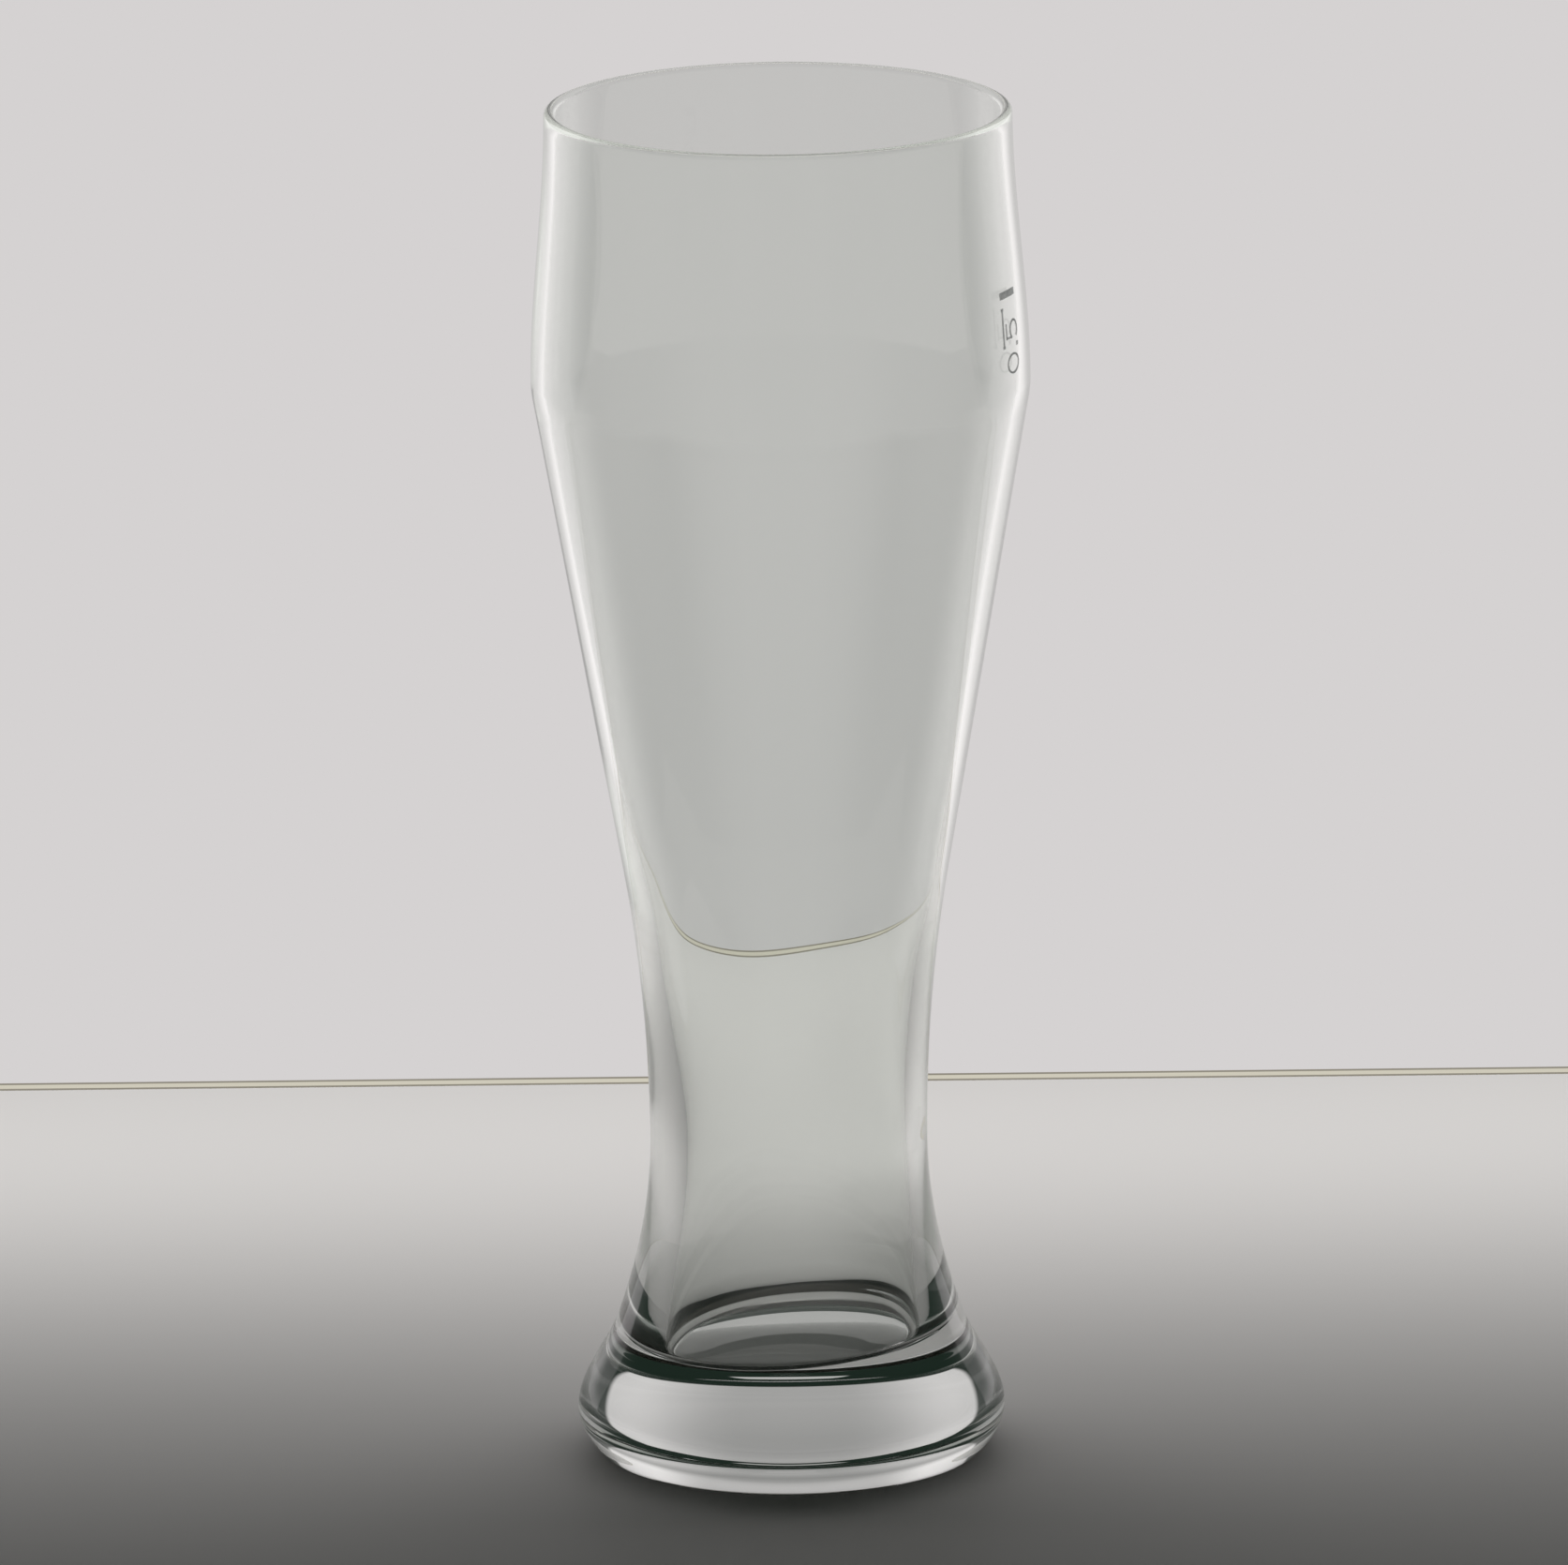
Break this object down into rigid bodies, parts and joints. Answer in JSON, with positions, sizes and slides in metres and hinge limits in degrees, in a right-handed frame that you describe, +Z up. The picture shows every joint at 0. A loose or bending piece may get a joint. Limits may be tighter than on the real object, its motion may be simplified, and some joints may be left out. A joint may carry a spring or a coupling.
{
  "type": "weizen glass",
  "caption": "Tall clear wheat beer glass with a wide bowl, a soft belt near the top, a narrow waist, a heavy solid flared foot and a small printed fill line.",
  "frame": {"origin": "middle of the flat ring that the glass stands on, on the glass's own axis", "axes": "+Z up along the glass's axis; -Y is the side that faces the camera in the picture, and the printed mark is on the +X side, 63 degrees round from the front"},
  "size_m": [0.0844, 0.0844, 0.233],
  "materials": {
    "clear_glass": "clear soda-lime glass, fire-polished",
    "fired_enamel": "fired-on grey-green ceramic ink, satin"
  },
  "bodies": {
    "root": {"glass_body": "clear_glass", "fill_line": "fired_enamel", "mark_stroke": "fired_enamel"}
  },
  "joints": []
}
